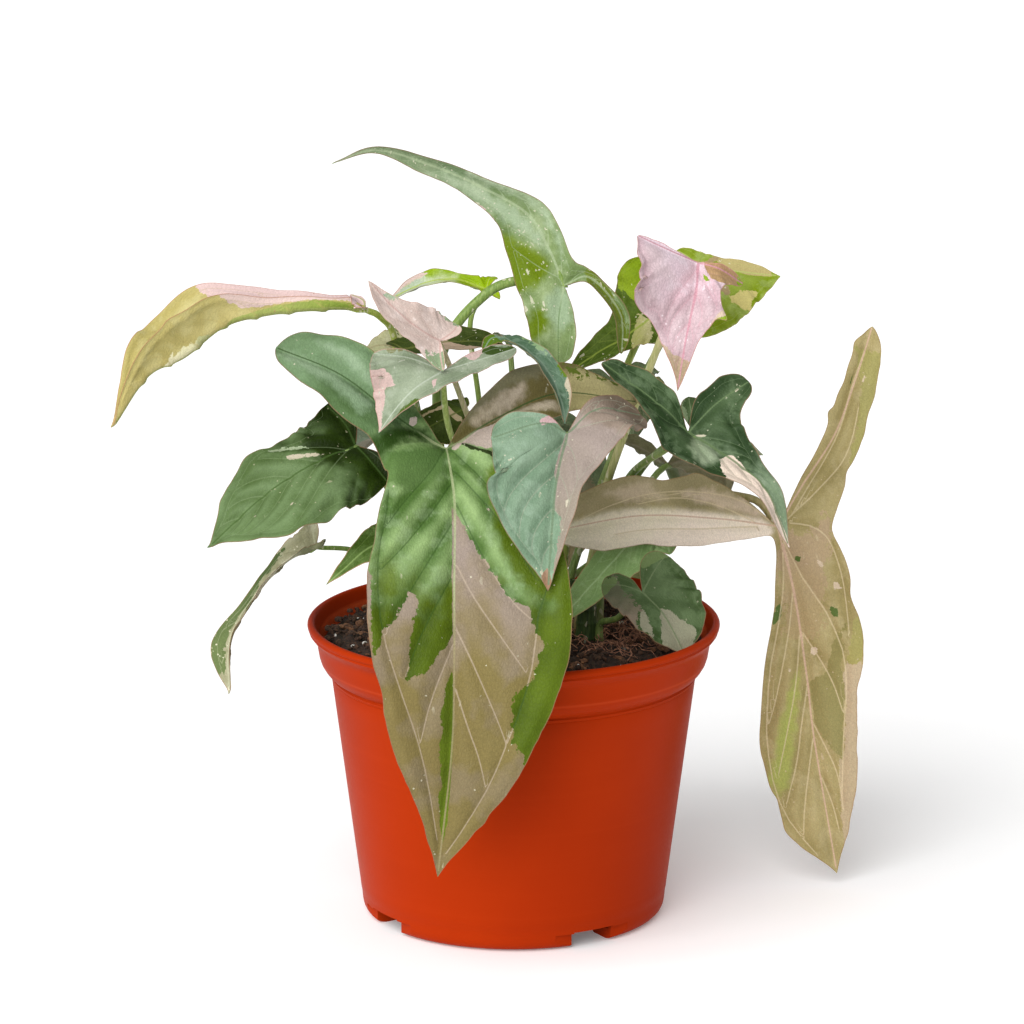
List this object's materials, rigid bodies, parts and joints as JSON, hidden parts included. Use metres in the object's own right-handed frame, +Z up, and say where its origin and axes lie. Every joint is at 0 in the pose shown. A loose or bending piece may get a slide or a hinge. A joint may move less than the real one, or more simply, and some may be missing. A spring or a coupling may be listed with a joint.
{
  "type": "potted syngonium",
  "caption": "Variegated arrowhead plant (syngonium) with arching arrow-shaped leaves on slender stalks, growing in soil in a tapered round nursery pot.",
  "frame": {"origin": "on the pot's vertical axis, at the height of the surface that the pot stands on", "axes": "+Z up; -Y towards the side with the largest drooping leaf (the front); +X to the right as seen from the front"},
  "size_m": [0.2798, 0.2022, 0.2891],
  "materials": {
    "pot": "satin orange-red moulded plastic",
    "soil": "loose dark potting mix with white perlite and bark",
    "stem": "smooth green plant stem",
    "root": "thin reddish-tan root",
    "leaf": "satin leaf, green variegated with beige-pink, reddish margin",
    "leaf_pink": "satin leaf, pale pink with darker pink veins",
    "leaf_lime": "satin leaf, yellow-green with cream patches",
    "leaf_dark": "satin leaf, dark green with pale veins"
  },
  "bodies": {
    "root": {"leaf_back_droop": "leaf", "leaf_back_left": "leaf", "leaf_back_low": "leaf", "leaf_back_low_right": "leaf", "leaf_back_right": "leaf", "leaf_back_top": "leaf", "leaf_behind_front": "leaf", "leaf_behind_right": "leaf", "leaf_curled": "leaf_dark", "leaf_far_lime": "leaf_lime", "leaf_front": "leaf", "leaf_in_pot": "leaf", "leaf_left_green": "leaf_dark", "leaf_left_long": "leaf", "leaf_lime_left": "leaf_lime", "leaf_lime_right": "leaf_lime", "leaf_low_left": "leaf", "leaf_low_right": "leaf", "leaf_mid_front": "leaf", "leaf_pale": "leaf", "leaf_pink": "leaf_pink", "leaf_pink_tip": "leaf", "leaf_right_dark": "leaf_dark", "leaf_right_long": "leaf", "leaf_small_dark": "leaf", "leaf_small_pink": "leaf_pink", "leaf_top": "leaf", "leaf_two_tone": "leaf", "pot": "pot", "root_a": "root", "root_b": "root", "soil": "soil", "stem_a": "stem", "stem_b": "stem", "stem_c": "stem", "stem_d": "stem", "stem_e": "stem", "stem_f": "stem"}
  },
  "joints": []
}
